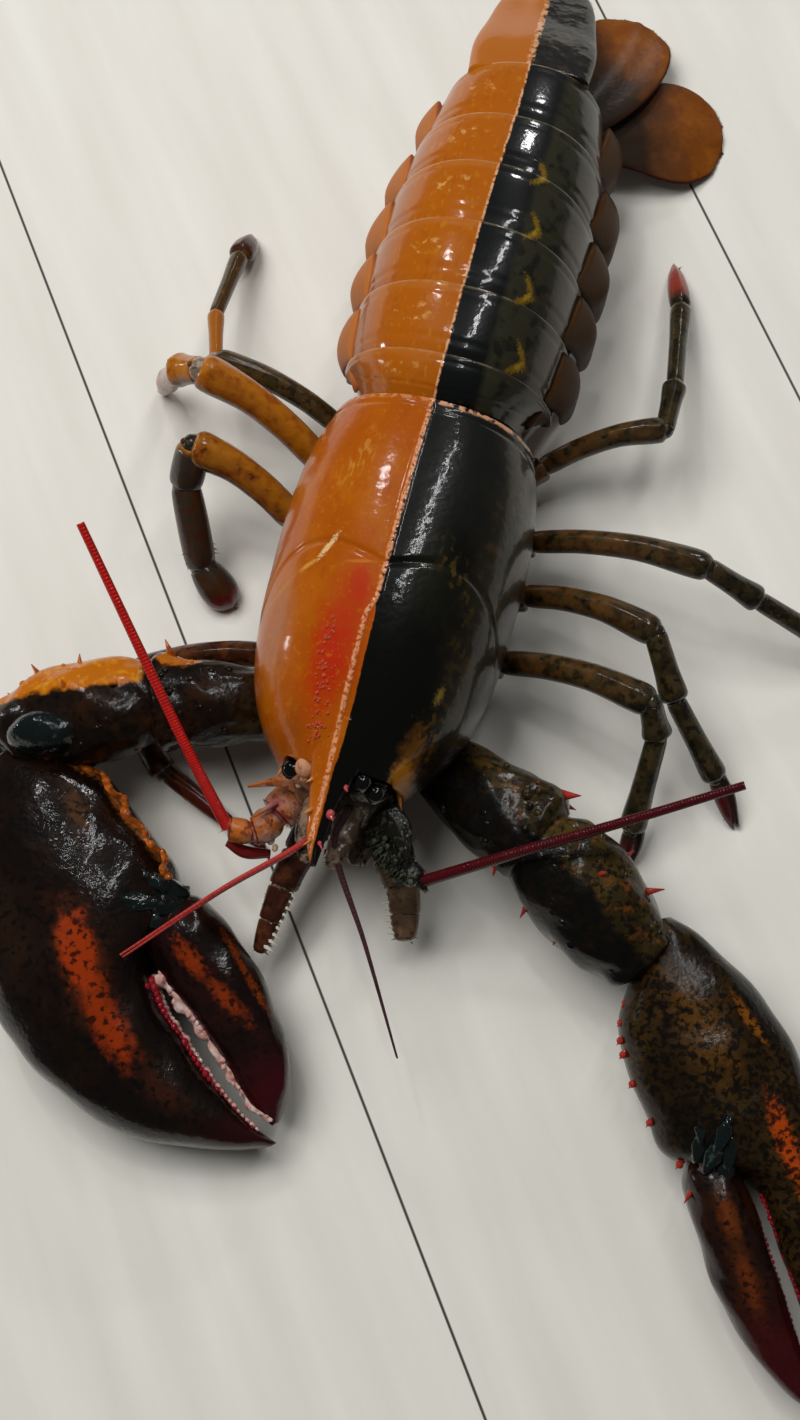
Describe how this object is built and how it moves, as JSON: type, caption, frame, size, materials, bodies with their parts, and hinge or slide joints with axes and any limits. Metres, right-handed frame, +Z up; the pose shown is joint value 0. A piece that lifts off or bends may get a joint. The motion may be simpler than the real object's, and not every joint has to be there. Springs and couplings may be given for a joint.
{
  "type": "american lobster, life-size still model",
  "caption": "Still, life-size model of a live american lobster lying with its claws forward, its shell orange on the right half and near black on the left.",
  "frame": {"origin": "on the floor, below the middle of the bounding box", "axes": "+Z up, head toward -Y, tail toward +Y, the animal's left toward +X"},
  "size_m": [0.2182, 0.3316, 0.0557],
  "materials": {
    "shell_split": "glossy, orange on the right half and near black on the left half",
    "shell_olive": "glossy, dark olive mottled with black and orange",
    "shell_brown": "glossy, brown-black streaked with rust and orange",
    "shell_rust": "glossy, rust orange with dark margins",
    "shell_orange": "glossy, orange",
    "feeler_red": "satin, red with fine rings",
    "feeler_maroon": "satin, maroon with fine rings",
    "eye_black": "high gloss, black"
  },
  "bodies": {
    "root": {"carapace": "shell_split", "head_front": "shell_olive", "mouthparts": "shell_olive", "sternum": "shell_olive", "eye_left": "eye_black", "eye_right": "eye_black", "antenna_base_left": "shell_olive", "antenna_left": "feeler_maroon", "antenna_base_right": "shell_orange", "antenna_right": "feeler_red", "antennule_left": "shell_brown", "antennule_right": "feeler_red", "maxilliped_left": "shell_brown", "maxilliped_right": "shell_brown", "leg_left_2_upper": "shell_olive", "leg_left_2_lower": "shell_olive", "leg_left_3_upper": "shell_olive", "leg_left_3_lower": "shell_olive", "leg_left_4_upper": "shell_olive", "leg_left_4_lower": "shell_olive", "leg_left_5_upper": "shell_olive", "leg_left_5_lower": "shell_olive", "leg_right_2_upper": "shell_brown", "leg_right_2_lower": "shell_brown", "leg_right_3_upper": "shell_rust", "leg_right_3_lower": "shell_rust", "leg_right_4_upper": "shell_orange", "leg_right_4_lower": "shell_orange", "leg_right_5_upper": "shell_rust", "leg_right_5_lower": "shell_rust", "cheliped_right_merus": "shell_brown", "cheliped_right_carpus": "shell_brown", "cheliped_right_claw": "shell_brown", "cheliped_right_finger": "shell_brown", "cheliped_left_merus": "shell_olive", "cheliped_left_carpus": "shell_olive", "cheliped_left_claw": "shell_olive", "cheliped_left_finger": "shell_olive", "abdomen_1": "shell_split", "abdomen_2": "shell_split", "abdomen_3": "shell_split", "abdomen_4": "shell_split", "abdomen_5": "shell_split", "abdomen_6": "shell_split", "telson": "shell_split", "uropod_left_inner": "shell_rust", "uropod_left_outer": "shell_rust", "uropod_right_inner": "shell_orange", "uropod_right_outer": "shell_orange"}
  },
  "joints": []
}
